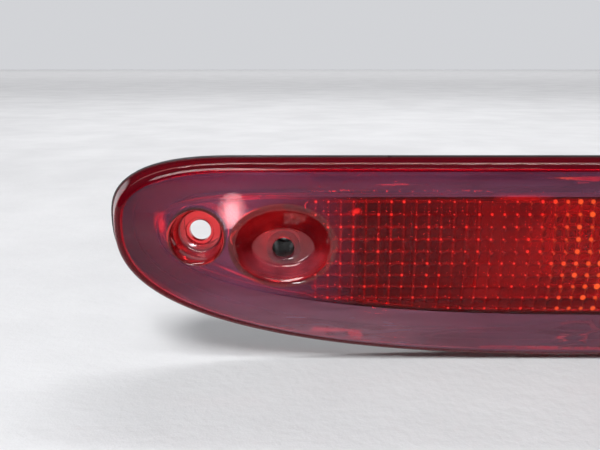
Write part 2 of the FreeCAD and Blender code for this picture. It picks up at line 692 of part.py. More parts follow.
def make_terminal_earth():
    foot_end = SLEEVE_REAR_Y + 0.8
    half_w = BLADE_W / 2
    foot = block(BLADE_X, SLEEVE_FLANGE_R - 0.5, SLEEVE_REAR_Y, foot_end, BULB_Z - half_w, BULB_Z + half_w)
    return foot.fuse(blade(1, SLEEVE_REAR_Y)).removeSplitter()


def make_holder_shell():
    """Steel sleeve with two J slots. At rest the bulb's pins sit at the closed ends of the hooks."""
    sleeve = tube(SLEEVE_R, SLEEVE_R - SLEEVE_T, SLEEVE_FRONT_Y, SLEEVE_REAR_Y, 0, BULB_Z)
    flange_front = SLEEVE_REAR_Y - SLEEVE_FLANGE_T
    sleeve = sleeve.fuse(tube(SLEEVE_FLANGE_R, SLEEVE_R - SLEEVE_T, flange_front, SLEEVE_REAR_Y, 0, BULB_Z))
    slot_rear = PIN_Y + BULB_TRAVEL + PIN_R + 0.3
    seat_front = PIN_Y - PIN_R - 0.05
    half_w = SLOT_W / 2
    for side in SIDES:
        x0, x1 = sorted((side * (CAP_R - 1), side * (SLEEVE_R + 1)))
        seat = block(x0, x1, seat_front, slot_rear, BULB_Z - half_w, BULB_Z + half_w)
        entry = block(x0, x1, SLEEVE_FRONT_Y - 1, slot_rear, BULB_Z - half_w, BULB_Z + half_w)
        entry.rotate(V(0, 0, BULB_Z), INWARD, -SLOT_SWEEP)
        start = (0 if side > 0 else 180) + SLOT_SWEEP / 2
        hook = sector(SLEEVE_R + 1, CAP_R - 1, slot_rear - SLOT_W, slot_rear, start, SLOT_SWEEP, BULB_Z)
        sleeve = sleeve.cut(seat).cut(entry).cut(hook)
    return sleeve.removeSplitter()


def make_holder_body(terminals):
    flange_rear = HOLDER_FLANGE_Y + HOLDER_FLANGE_T
    body = tube(COLLAR_R, COLLAR_BORE_R, COLLAR_FRONT_Y, HOLDER_FLANGE_Y + 0.5, 0, BULB_Z)
    body = body.fuse(disc(HOLDER_FLANGE_R, HOLDER_FLANGE_Y, flange_rear, 0, BULB_Z))
    body = body.fuse(disc(HUB_R, HOLDER_FLANGE_Y, HUB_REAR_Y, 0, BULB_Z))
    for centre in LUG_CENTRES:
        lug = sector(LUG_R, COLLAR_R - 0.5, COLLAR_FRONT_Y, LUG_REAR_Y, centre, LUG_ANGLE, BULB_Z)
        body = body.fuse(lug)
    for side in SIDES:
        z0, z1 = sorted((BULB_Z + side * (HUB_R - 1), BULB_Z + side * GRIP_R))
        body = body.fuse(block(-GRIP_T / 2, GRIP_T / 2, flange_rear - 0.5, GRIP_REAR_Y, z0, z1))
    half_x, half_z = HEADER_OUTER[0] / 2, HEADER_OUTER[1] / 2
    body = body.fuse(rounded_block(half_x, half_z, 3.0, HUB_REAR_Y - 0.5, HEADER_REAR_Y, BULB_Z))
    half_x, half_z = HEADER_INNER[0] / 2, HEADER_INNER[1] / 2
    body = body.cut(rounded_block(half_x, half_z, 1.5, HUB_REAR_Y, HEADER_REAR_Y + 1, BULB_Z))
    body = body.cut(disc(HUB_BORE_R, HOLDER_FLANGE_Y, HUB_FLOOR_Y, 0, BULB_Z))
    for terminal in terminals:
        body = body.cut(terminal)
    return body.removeSplitter()


def make_holder_seal():
    return tube(HOLDER_FLANGE_R, COLLAR_R + 0.1, POD_REAR_Y + SEAL_GAP, HOLDER_FLANGE_Y, 0, BULB_Z)


# ---- Build --------------------------------------------------------------------------------------

terminal_live = make_terminal_live()
terminal_earth = make_terminal_earth()

nodes = {
    "lens": make_lens(),
    "housing": make_housing(),
    "reflector": make_reflector(),
    "reflector_screws": make_reflector_screws(),
    "gasket": make_gasket(),
    "well_seal_left": make_well_seal(-1),
    "well_seal_right": make_well_seal(1),
    "boss_seal_left": make_boss_seal(-1),
    "boss_seal_right": make_boss_seal(1),
    "vent_cap_left": make_vent_cap(-1),
    "vent_cap_right": make_vent_cap(1),
    "bulb_glass": make_bulb_glass(),
    "bulb_stem": make_bulb_stem(),
    "bulb_supports": make_bulb_supports(),
    "bulb_filament": make_bulb_filament(),
    "bulb_cap": make_bulb_cap(),
    "bulb_insulator": make_bulb_insulator(),
    "bulb_contact": make_bulb_contact(),
    "contact_plate": make_contact_plate(),
    "live_contact": make_live_contact(),
    "contact_spring": make_contact_spring(),
    "terminal_live": terminal_live,
    "terminal_earth": terminal_earth,
    "holder_shell": make_holder_shell(),
    "holder_body": make_holder_body((terminal_live, terminal_earth)),
    "holder_seal": make_holder_seal(),
}

for name, shape in nodes.items():
    solids = shape.Solids
    state = "valid" if shape.isValid() else "INVALID"
    print(name, len(solids), "solids", round(shape.Volume, 1), "mm3", state)
    result = solids[0] if len(solids) == 1 else Part.makeCompound(solids)
    result.exportStep(f"parts/{name}.step")
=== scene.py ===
import math

import bmesh
import bpy
import numpy as np
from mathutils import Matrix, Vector
from mathutils.geometry import delaunay_2d_cdt


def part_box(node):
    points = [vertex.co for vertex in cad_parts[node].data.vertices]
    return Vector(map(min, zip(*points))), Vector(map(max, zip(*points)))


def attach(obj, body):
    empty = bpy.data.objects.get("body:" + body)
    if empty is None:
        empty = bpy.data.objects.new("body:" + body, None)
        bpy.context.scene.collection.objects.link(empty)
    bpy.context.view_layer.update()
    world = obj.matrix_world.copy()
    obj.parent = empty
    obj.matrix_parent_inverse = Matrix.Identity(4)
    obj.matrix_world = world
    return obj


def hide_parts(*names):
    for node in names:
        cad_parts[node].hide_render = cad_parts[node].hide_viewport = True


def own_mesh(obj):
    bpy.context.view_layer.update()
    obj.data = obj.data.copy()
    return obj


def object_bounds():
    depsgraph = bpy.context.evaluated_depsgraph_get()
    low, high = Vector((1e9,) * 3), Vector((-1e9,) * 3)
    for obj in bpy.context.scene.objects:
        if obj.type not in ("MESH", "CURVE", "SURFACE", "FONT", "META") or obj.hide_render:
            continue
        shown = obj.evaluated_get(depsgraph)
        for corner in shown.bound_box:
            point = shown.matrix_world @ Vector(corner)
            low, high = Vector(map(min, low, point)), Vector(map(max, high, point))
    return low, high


# Third brake light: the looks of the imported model. Lens geometry is in millimetres and scaled on output.
# Nodes, lights and the spring are in metres.

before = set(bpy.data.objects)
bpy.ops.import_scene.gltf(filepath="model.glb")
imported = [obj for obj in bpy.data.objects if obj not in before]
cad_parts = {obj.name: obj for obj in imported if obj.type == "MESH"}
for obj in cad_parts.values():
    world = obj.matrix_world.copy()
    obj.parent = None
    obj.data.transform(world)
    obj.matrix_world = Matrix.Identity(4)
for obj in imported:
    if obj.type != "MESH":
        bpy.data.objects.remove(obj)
CAD_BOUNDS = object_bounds()
SCENE = bpy.context.scene
MM = 0.001
FULL_TURN = 2 * math.pi

# ---- Lens dimensions, in millimetres --------------------------------------------------------------
# As in the design, but 0.6 mm fuller at its outline, so the housing rim shows as thin as on the real lamp.

TIP_Z, CORNER_LENGTH, CORNER_POWER, SWEEP_POWER = 3.2, 45.0, 2.66, 2.4
FRONT_Y, REAR_Y = -20.5, -4.0
FACE_RADIUS, FACE_APEX_Z = 102.0, -1.8
HALF, RISE, DROP = 170.6, 21.2, 50.6  # lens outline at its rear edge
TAPER = (0.296, 0.044, 0.222)  # how each shrinks per mm of depth
WALL = 2.5
EDGE_RADIUS, INNER_RADIUS, WELL_LIP_RADIUS, DISH_LIP_RADIUS = 3.5, 1.0, 1.3, 3.0
WELL_FOOT_RADIUS, STEP_RADIUS, DISH_FOOT_RADIUS, DISH_HOLE_RADIUS = 0.8, 0.3, 1.6, 0.35
CHAMBER = (152.0, 9.7, 31.0)  # the light chamber's half length, rise and drop
RIB, RIB_REAR_Y = 1.2, -13.0  # thickness and rear edge of the rib round the chamber
WELL_X, WELL_MOUTH_R, WELL_FLOOR_R, WELL_FLOOR_Y = 139.0, 8.8, 7.5, -12.0
WELL_STEP_R, WELL_STEP_Y, HOLE_R, WELL_SEAT_Y = 4.7, -10.6, 3.7, -8.0
SKIRT_R, SKIRT_BORE_R, SKIRT_REAR_Y, CUP_R = 9.3, 7.2, -1.5, 10.2
DISH_X, DISH_RIM, DISH_RIM_Z = 110.5, (16.5, 13.2), -2.5
DISH_FLOOR, DISH_FLOOR_Z, DISH_FLOOR_Y = (10.5, 6.7), -5.6, -12.5
DISH_HOLE_Z, DISH_BACK_Y = -6.0, -10.2
PITCH, ROW_Z, PILLOW_HEIGHT, PILLOW_END_X = 4.15, -1.1, 1.4, 101.0
PILLOW_SINK = 0.7  # how much thinner the wall is at the pillows' corners
PILLOW_POWER = 2.8  # above 2, a pillow is flatter on top and steeper at its edges
PILLOW_STEPS = 8  # mesh steps across one pillow
PITCHES_BELOW, PITCHES_ABOVE = 8, 4  # how far the optics' mesh grid runs from ROW_Z
CREASE = 0.2  # the step that softens a crease's normals
FROST_GAP = 0.4  # how far outside the chamber's outline the frosted border starts
PLAIN, OUTER_FACE, INNER_FACE = range(3)  # kinds of surface, which tell where normals come from
SHARP_ANGLE = math.radians(32)
INSIDE_SLOT, EDGE_SLOT, WELL_SLOT, BORDER_SLOT, OPTICS_SLOT, FACE_SLOT = range(6)
OUTLINE_POINTS, DENSE_POINTS, ROUND_POINTS = 480, 24001, 72
FILLET_STEPS, SMALL_FILLET_STEPS, EDGE_FILLET_STEPS = 7, 3, 9
FACE_GRID, BAND_GRID = (3.0, 2.0), (4.0, 3.0)  # mesh steps along X and Z
FACE_CLEARANCE, BAND_CLEARANCE, OPTICS_CLEARANCE, END_GAP = 0.8, 1.0, 0.3, 1.5  # of grid points from edges
GRID_MIN, GRID_MAX = (-172.0, -50.0), (172.0, 26.0)  # corners (x, z) of a box round the whole lens
SMALLEST_AREA, SAME_POINT = 1e-5, 1e-7  # limits for the triangles between borders
MEETING_ROUNDS = 30  # enough for a wall's meeting with the face to settle
FORWARD = np.array([0.0, -1.0, 0.0])
SIDES = (-1, 1)


def outline_curve(t, half, rise, drop):
    """Points (x, z) of the lamp's outline; t runs 0 to 4 over top edge, corner, sweep, corner."""
    part = np.clip(np.floor(t), 0, 3)
    u = t - part
    turn = np.where(part == 3, 1 - u, u) * math.pi / 2
    corner_x = half - CORNER_LENGTH * (1 - np.sin(turn) ** (2 / CORNER_POWER))
    corner_z = TIP_Z + rise * np.abs(np.cos(turn)) ** (2 / CORNER_POWER)
    along = np.cos(math.pi * u)
    sweep_x = half * np.sign(along) * np.abs(along) ** (2 / SWEEP_POWER)
    sweep_z = TIP_Z - drop * np.abs(np.sin(math.pi * u)) ** (2 / SWEEP_POWER)
    top_x = (half - CORNER_LENGTH) * (2 * u - 1)
    x = np.select([part == 0, part == 1, part == 2], [top_x, corner_x, sweep_x], -corner_x)
    z = np.select([part == 0, part == 2], [np.full_like(u, TIP_Z + rise), sweep_z], corner_z)
    return np.stack([x, z], -1)


def even_parameters(count):
    """Values of t that space points evenly along the outline."""
    dense = np.linspace(0, 4, DENSE_POINTS)[:-1]
    points = outline_curve(dense, HALF, RISE, DROP)
    length = np.concatenate([[0], np.cumsum(np.linalg.norm(np.diff(points, axis=0), axis=1))])
    return np.interp(np.arange(count) * length[-1] / count, length, dense)


OUTLINE_T = even_parameters(OUTLINE_POINTS)


def face_y(z, inset=0.0):
    """Depth of the lens's face at height z, or of a face that lies inset behind it."""
    radius = FACE_RADIUS - inset
    return FRONT_Y + FACE_RADIUS - np.sqrt(radius**2 - (z - FACE_APEX_Z) ** 2)


def face_normal(points):
    """Normals of the face, which is part of a cylinder along X."""
    out = np.zeros_like(points)
    out[:, 1] = points[:, 1] - (FRONT_Y + FACE_RADIUS)
    out[:, 2] = points[:, 2] - FACE_APEX_Z
    return out / np.linalg.norm(out, axis=1)[:, None]


def loop3(xz, y):
    """A loop in space from (x, z) points and one depth, or one for each point."""
    return np.stack([xz[:, 0], np.broadcast_to(y, xz[:, 0].shape), xz[:, 1]], -1)


def unit(v):
    return v / np.linalg.norm(v, axis=-1, keepdims=True)


def side_loop(y, inset):
    """The lens's side wall at depth y, which may differ from point to point."""
    forward = REAR_Y - y
    half, rise, drop = (size - inset - lean * forward for size, lean in zip((HALF, RISE, DROP), TAPER))
    return loop3(outline_curve(OUTLINE_T, half, rise, drop), y)


def meet_face(loop_at, inset):
    """The loop where a wall, given as loop_at(y), meets the face."""
    y = FRONT_Y
    for _ in range(MEETING_ROUNDS):
        y = face_y(loop_at(y)[:, 2], inset)
    return loop_at(y)


def fillet(corner, along_a, along_b, radius, steps=FILLET_STEPS):
    """Loops of an arc that rounds corner, from its tangent point on side a to that on side b."""
    half_angle = np.arccos(np.clip((along_a * along_b).sum(1), -1, 1)) / 2
    reach = (radius / np.tan(half_angle))[:, None]
    centre = corner + unit(along_a + along_b) * (radius / np.sin(half_angle))[:, None]
    start = (corner + along_a * reach - centre) / radius
    end = (corner + along_b * reach - centre) / radius
    swing = np.arccos(np.clip((start * end).sum(1), -1, 1))[:, None]
    loops = []
    for step in range(steps + 1):
        s = step / steps
        arm = (np.sin((1 - s) * swing) * start + np.sin(s * swing) * end) / np.sin(swing)
        loops.append(centre + radius * arm)
    return loops


def along_face(corner, inward, normals):
    """Unit vectors across a closed loop, in the surface with the given normals or one normal.
    They point towards the loop's middle if inward is true, and away from it if not.
    """
    tangent = unit(np.roll(corner, -1, 0) - np.roll(corner, 1, 0))
    across = unit(np.cross(tangent, normals))
    middle = corner.mean(0)
    towards = ((middle - corner) * across).sum(1)
    sign = 1.0 if towards.sum() > 0 else -1.0
    return across * (sign if inward else -sign)


class Skin:
    """Collects vertices, faces and their materials, and makes one mesh of them."""

    def __init__(self):
        self.points, self.faces, self.slots, self.kinds, self.total = [], [], [], [], 0

    def add_points(self, points):
        self.points.append(np.asarray(points, float))
        first = self.total
        self.total += len(points)
        return np.arange(first, self.total)

    def add_face(self, corners, slot=INSIDE_SLOT, kind=PLAIN):
        self.faces.append(tuple(corners))
        self.slots.append(slot)
        self.kinds.append(kind)

    def stack(self, loops, last=None, slot=INSIDE_SLOT):
        """Quads through a list of closed loops; last may be a loop of vertex numbers already there."""
        rows = [self.add_points(loop) for loop in loops]
        if last is not None:
            rows.append(last)
        for a, b in zip(rows, rows[1:]):
            for i in range(len(a)):
                j = (i + 1) % len(a)
                self.add_face((a[i], a[j], b[j], b[i]), slot)
        return rows[0], rows[-1]

    def flat(self, numbers):
        """The (x, z) of a loop of vertex numbers."""
        return np.concatenate(self.points)[numbers][:, [0, 2]]

    def mesh(self, name):
        """One closed smooth mesh, with exact normals on the faces whose surface has a formula."""
        points = np.concatenate(self.points)
        data = bpy.data.meshes.new(name)
        data.from_pydata((points * MM).tolist(), [], [tuple(int(i) for i in face) for face in self.faces])
        data.polygons.foreach_set("material_index", self.slots)
        kinds = data.attributes.new("surface_kind", "INT", "FACE")
        kinds.data.foreach_set("value", self.kinds)
        turned = bmesh.new()
        turned.from_mesh(data)
        bmesh.ops.recalc_face_normals(turned, faces=turned.faces)
        turned.to_mesh(data)
        turned.free()
        data.shade_smooth()
        data.set_sharp_from_angle(angle=SHARP_ANGLE)
        normals = np.empty((len(data.loops), 3), np.float32)
        data.corner_normals.foreach_get("vector", normals.ravel())
        corner_points = np.empty(len(data.loops), np.int32)
        data.loops.foreach_get("vertex_index", corner_points)
        face_kinds = np.empty(len(data.polygons), np.int32)
        data.attributes["surface_kind"].data.foreach_get("value", face_kinds)
        sizes = np.empty(len(data.polygons), np.int32)
        data.polygons.foreach_get("loop_total", sizes)
        corner_kinds = np.repeat(face_kinds, sizes)
        for kind, normal_of in ((OUTER_FACE, face_normal), (INNER_FACE, inner_normal)):
            chosen = corner_kinds == kind
            normals[chosen] = normal_of(points[corner_points[chosen]])
        data.normals_split_custom_set(normals.tolist())
        data.attributes.remove(data.attributes["surface_kind"])
        return data


def inside(points, loop):
    """Which points lie inside a closed loop, by counting crossings."""
    result = np.zeros(len(points), bool)
    x0, z0 = loop[:, 0], loop[:, 1]
    x1, z1 = np.roll(x0, -1), np.roll(z0, -1)
    for a, b, c, d in zip(x0, z0, x1, z1):
        if b == d:
            continue
        crosses = (b > points[:, 1]) != (d > points[:, 1])
        result ^= crosses & (points[:, 0] < (c - a) * (points[:, 1] - b) / (d - b) + a)
    return result


def round_turn():
    """Angles of the points of a round or oval loop."""
    return np.arange(ROUND_POINTS) * FULL_TURN / ROUND_POINTS


def circle(x, z, radius, y=None):
    """A circle as (x, z) points, or as points in space if it has a depth."""
    turn = round_turn()
    xz = np.stack([x + radius * np.cos(turn), z + radius * np.sin(turn)], -1)
    return xz if y is None else loop3(xz, y)


def dish_loop(side, y, wall=0.0):
    """The oval of a dish at depth y, which may differ from point to point, grown by wall."""
    part = (y - FRONT_Y) / (DISH_FLOOR_Y - FRONT_Y)
    half_x = DISH_RIM[0] + (DISH_FLOOR[0] - DISH_RIM[0]) * part + wall
    half_z = DISH_RIM[1] + (DISH_FLOOR[1] - DISH_RIM[1]) * part + wall
    z = DISH_RIM_Z + (DISH_FLOOR_Z - DISH_RIM_Z) * part
    turn = round_turn()
    xz = np.stack([side * DISH_X + half_x * np.cos(turn), z + half_z * np.sin(turn)], -1)
    return loop3(xz, y)


def chamber_loop(grow, y_of):
    """The light chamber's outline, grown, at a fixed depth or at y_of(z)."""
    half, rise, drop = (size + grow for size in CHAMBER)
    xz = outline_curve(OUTLINE_T, half, rise, drop)
    return loop3(xz, y_of(xz[:, 1]) if callable(y_of) else y_of)


def grid_points(steps, borders, clearance):
    """Points (x, z) of a regular grid inside borders[0], outside the others and clear of them all."""
    xs, zs = (np.arange(*limits_and_step) for limits_and_step in zip(GRID_MIN, GRID_MAX, steps))
    points = np.stack(np.meshgrid(xs, zs), -1).reshape(-1, 2)
    return clear_points(points, borders, clearance)


def clear_points(points, borders, clearance):
    """The points that lie inside borders[0], outside the others and clear of them all."""
    keep = inside(points, borders[0])
    for hole in borders[1:]:
        keep &= ~inside(points, hole)
    return away_from(points[keep], np.concatenate(borders), clearance)


def away_from(points, rim, clearance):
    """The points that lie further than clearance from every point of rim."""
    near = np.array([np.min((rim[:, 0] - x) ** 2 + (rim[:, 1] - z) ** 2) for x, z in points])
    return points[near > clearance**2]


def pillow(x, z):
    """How far a pillow of the optics stands in from the lens's inner face."""
    across = np.abs(2 * ((x / PITCH) % 1.0) - 1)
    up = np.abs(2 * (((z - ROW_Z) / PITCH) % 1.0) - 1)
    height = PILLOW_HEIGHT * (1 - (across**PILLOW_POWER + up**PILLOW_POWER) / 2)
    return np.where(np.abs(x) > PILLOW_END_X, 0.0, height - PILLOW_SINK)


def inner_height(x, z):
    """Depth of the lens's inner face, with its pillows."""
    return face_y(z, WALL) + pillow(x, z)


def inner_normal(points):
    """Normals of the inner face, from the slope across a small step, which softens the creases."""
    x, z = points[:, 0], points[:, 2]
    slope_x = (inner_height(x + CREASE, z) - inner_height(x - CREASE, z)) / (2 * CREASE)
    slope_z = (inner_height(x, z + CREASE) - inner_height(x, z - CREASE)) / (2 * CREASE)
    return unit(np.stack([-slope_x, np.ones_like(x), -slope_z], -1))


def well_wall(side, y):
    """The round wall of a well at depth y, which may differ from point to point."""
    lean = (WELL_MOUTH_R - WELL_FLOOR_R) / (WELL_FLOOR_Y - FRONT_Y)
    radius = WELL_MOUTH_R - lean * (y - FRONT_Y)
    return circle(side * WELL_X, 0, radius, y)


def well_loops(side):
    """A stepped screw well, from its lip on the face round to the cup's corner on the inner face."""
    x = side * WELL_X
    mouth = meet_face(lambda y: well_wall(side, y), 0)
    floor = circle(x, 0, WELL_FLOOR_R, WELL_FLOOR_Y)
    lip = fillet(mouth, along_face(mouth, False, face_normal(mouth)), unit(floor - mouth), WELL_LIP_RADIUS)
    foot = fillet(floor, unit(mouth - floor), along_face(floor, True, FORWARD), WELL_FOOT_RADIUS)
    loops = lip + foot
    step = circle(x, 0, WELL_STEP_R, WELL_FLOOR_Y)
    drop = circle(x, 0, WELL_STEP_R, WELL_STEP_Y)
    outward = along_face(step, False, FORWARD)
    loops += fillet(step, outward, unit(drop - step), STEP_RADIUS, SMALL_FILLET_STEPS)
    loops += [drop]
    loops += [circle(x, 0, HOLE_R, y) for y in (WELL_STEP_Y, WELL_SEAT_Y)]
    loops += [circle(x, 0, SKIRT_BORE_R, y) for y in (WELL_SEAT_Y, SKIRT_REAR_Y)]
    loops += [circle(x, 0, SKIRT_R, y) for y in (SKIRT_REAR_Y, WELL_SEAT_Y)]
    cup = circle(x, 0, CUP_R)
    loops.append(loop3(cup, face_y(cup[:, 1], WALL)))
    return loops


def dish_loops(side):
    """An oval dish, from its lip on the face round to its back's corner on the inner face."""
    rim = meet_face(lambda y: dish_loop(side, y), 0)
    floor = dish_loop(side, DISH_FLOOR_Y)
    loops = fillet(rim, along_face(rim, False, face_normal(rim)), unit(floor - rim), DISH_LIP_RADIUS)
    for share in (0.25, 0.5, 0.75):
        loops.append(rim + (floor - rim) * share)
    loops += fillet(floor, unit(rim - floor), along_face(floor, True, FORWARD), DISH_FOOT_RADIUS)
    hole = circle(side * DISH_X, DISH_HOLE_Z, HOLE_R, DISH_FLOOR_Y)
    back_hole = circle(side * DISH_X, DISH_HOLE_Z, HOLE_R, DISH_BACK_Y)
    outward = along_face(hole, False, FORWARD)
    loops += fillet(hole, outward, unit(back_hole - hole), DISH_HOLE_RADIUS, SMALL_FILLET_STEPS)
    loops.append(back_hole)
    loops.append(dish_loop(side, DISH_BACK_Y, WALL))
    loops.append(meet_face(lambda y: dish_loop(side, y, WALL), WALL))
    return loops


def make_lens():
    """The lens as one closed skin: side and edge, inner side, wells and dishes, face, rib and optics."""
    skin = Skin()
    base = side_loop(REAR_Y, 0)
    corner = meet_face(lambda y: side_loop(y, 0), 0)
    inward = along_face(corner, True, face_normal(corner))
    edge = fillet(corner, unit(base - corner), inward, EDGE_RADIUS, EDGE_FILLET_STEPS)
    edge[-1][:, 1] = face_y(edge[-1][:, 2])
    side_rows = [base + (edge[0] - base) * share for share in (0, 0.33, 0.66)]
    outer_base, outer_rim = skin.stack(side_rows + edge, slot=EDGE_SLOT)

    inner_base = side_loop(REAR_Y, WALL)
    inner_corner = meet_face(lambda y: side_loop(y, WALL), WALL)
    inward = along_face(inner_corner, True, face_normal(inner_corner))
    rearward = unit(inner_base - inner_corner)
    inner_edge = fillet(inner_corner, rearward, inward, INNER_RADIUS, SMALL_FILLET_STEPS)
    inner_edge[-1][:, 1] = face_y(inner_edge[-1][:, 2], WALL)
    inner_rim, _ = skin.stack(inner_edge[::-1] + [inner_base], last=outer_base)

    holes_out, holes_in = [], []
    for side in SIDES:
        for loops in (well_loops(side), dish_loops(side)):
            mouth, back = skin.stack(loops, slot=WELL_SLOT)
            holes_out.append(mouth)
            holes_in.append(back)

    boundary = skin.add_points(chamber_loop(FROST_GAP, face_y))
    borders = [outer_rim] + holes_out
    points = grid_points(FACE_GRID, [skin.flat(border) for border in borders], FACE_CLEARANCE)
    points = away_from(points, skin.flat(boundary), FACE_CLEARANCE)
    fill(skin, borders, [boundary], points, lambda x, z: face_y(z), OUTER_FACE, FACE_SLOT)

    rib_rows = [
        chamber_loop(RIB / 2, lambda z: face_y(z, WALL)),
        chamber_loop(RIB / 2, RIB_REAR_Y),
        chamber_loop(-RIB / 2, RIB_REAR_Y),
        chamber_loop(-RIB / 2, lambda z: face_y(z, WALL)),
    ]
    rib_first, rib_last = skin.stack(rib_rows)
    band = [inner_rim, rib_first]
    points = grid_points(BAND_GRID, [skin.flat(border) for border in band], BAND_CLEARANCE)
    fill(skin, band, [], points, inner_height, INNER_FACE)

    chamber = [rib_last] + holes_in
    outlines = [skin.flat(border) for border in chamber]
    step = PITCH / PILLOW_STEPS
    columns = math.floor(PILLOW_END_X / step)
    xs = np.arange(-columns, columns + 1) * step
    zs = ROW_Z + np.arange(-PITCHES_BELOW * PILLOW_STEPS, PITCHES_ABOVE * PILLOW_STEPS + 1) * step
    optics = clear_points(np.stack(np.meshgrid(xs, zs), -1).reshape(-1, 2), outlines, OPTICS_CLEARANCE)
    ends = grid_points(BAND_GRID, outlines, BAND_CLEARANCE)
    ends = ends[np.abs(ends[:, 0]) > PILLOW_END_X + END_GAP]
    fill(skin, chamber, [], np.concatenate([optics, ends]), inner_height, INNER_FACE, OPTICS_SLOT)
    return skin.mesh("lens_shell")


def fill(skin, borders, creases, points, height, kind, slot=INSIDE_SLOT):
    """Triangles between borders. Faces outside the first crease, if there is one, take BORDER_SLOT."""
    known = np.concatenate(skin.points)
    spots, numbers, edges = [], [], []
    for border in borders + creases:
        first = len(spots)
        spots += [Vector((known[i][0], known[i][2])) for i in border]
        numbers += list(border)
        edges += [(first + i, first + (i + 1) % len(border)) for i in range(len(border))]
    numbers += list(skin.add_points(loop3(points, height(points[:, 0], points[:, 1]))))
    spots += [Vector((float(x), float(z))) for x, z in points]
    found, _, faces, sources = delaunay_2d_cdt(spots, edges, [], 0, SAME_POINT)[:4]
    number_of = [numbers[source[0]] for source in sources]
    flat = np.array([(p.x, p.y) for p in found])
    corners = flat[np.array(faces)]
    middles = corners.mean(1)
    sides = corners[:, 1:] - corners[:, :1]
    area = np.abs(sides[:, 0, 0] * sides[:, 1, 1] - sides[:, 0, 1] * sides[:, 1, 0]) / 2
    keep = inside(middles, skin.flat(borders[0])) & (area > SMALLEST_AREA)
    for hole in borders[1:]:
        keep &= ~inside(middles, skin.flat(hole))
    frosted = ~inside(middles, skin.flat(creases[0])) if creases else np.zeros(len(middles), bool)
    for face, wanted, frost in zip(faces, keep, frosted):
        if wanted:
            skin.add_face([number_of[i] for i in face], BORDER_SLOT if frost else slot, kind)


# ---- Materials ------------------------------------------------------------------------------------

BOWL_EDGE_X, BOWL_FADE = 0.0455, (-0.014, 0.004)  # where the reflector's metallising thins out, in metres
# The hazy faces' scatter is part wear haze and part painted reflection of the room; the paler lower colour
# paints the floor's reflection.
BORDER_HAZE_AND_REFLECTION = 0.15  # share of the light that a hazy face scatters
HAZE_AND_REFLECTION_COLOUR = (0.42, 0.13, 0.27)
LOW_HAZE_AND_FLOOR_REFLECTION_COLOUR = (0.52, 0.27, 0.36)  # paler, for the lower border
DEEP_RED, DEEP_TINT = ((0.76, 0.022, 0.026), (0.86, 0.034, 0.036)), (0.92, 0.11, 0.10)
# The edge's darker red and low shine paint the shade seen along it; its glow is a painted red glow for light
# piped through the edge.
EDGE_RED, EDGE_TINT = ((0.40, 0.002, 0.008), (0.50, 0.003, 0.012)), (0.03, 0.001, 0.002)
EDGE_PAINTED_GLOW, EDGE_PAINTED_GLOW_COLOUR, EDGE_SHINE = 0.12, (0.55, 0.006, 0.03, 1), 0.4
# colour of the painted glints
PAINTED_GLINT_COLOUR = (0.9, 0.05, 0.04, 1)
# Colours of the optics' painted highlights and glow, and colour and strength of the painted glow emitted
# over the bowl
PAINTED_OPTICS_DARK, PAINTED_OPTICS_BRIGHT = (0.75, 0.010, 0.012), (1.0, 0.8, 0.55)
PAINTED_FOCUS_COLOUR, PAINTED_FOCUS_STRENGTH = (1.0, 0.62, 0.10, 1), 1.25
# Colours of the wells' painted red glow, and of their painted reflection of the bright room above and in
# front
WELL_PAINTED_GLOW_DARK, WELL_PAINTED_GLOW_BRIGHT, WELL_PAINTED_VEIL_COLOUR = (0.34, 0.004, 0.014), (0.90, 0.030, 0.034), (0.70, 0.30, 0.42, 1)
WELL_PAINTED_VEIL, WELL_PAINTED_VEIL_MIX = 0.10, 0.45  # the scatter that a veil adds, and how far its colour shows
PAINTED_VEIL_FACING = (0, -0.6, 0.8)  # the wells' walls and floors that face this way are the palest
# Painted glints inside the lens's ends: middle (x, z), half length, half width in mm, slope in degrees,
# strength
PAINTED_GLINTS = (
    (-151.0, 4.2, 2.2, 4.3, 8, 0.8),
    (-124.5, 12.4, 9.5, 0.8, 2, 0.9),
    (-120.0, 12.6, 22.0, 0.5, 1, 0.45),
    (-126.0, -13.0, 11.0, 0.6, -24, 0.7),
    (-86.2, 8.2, 2.1, 1.2, 6, 1.0),
    (-31.0, 12.1, 10.5, 1.1, 0, 0.6),
)

ANY_DEPTH = 1000  # a glint's reach along Y in metres, so that depth doesn't count


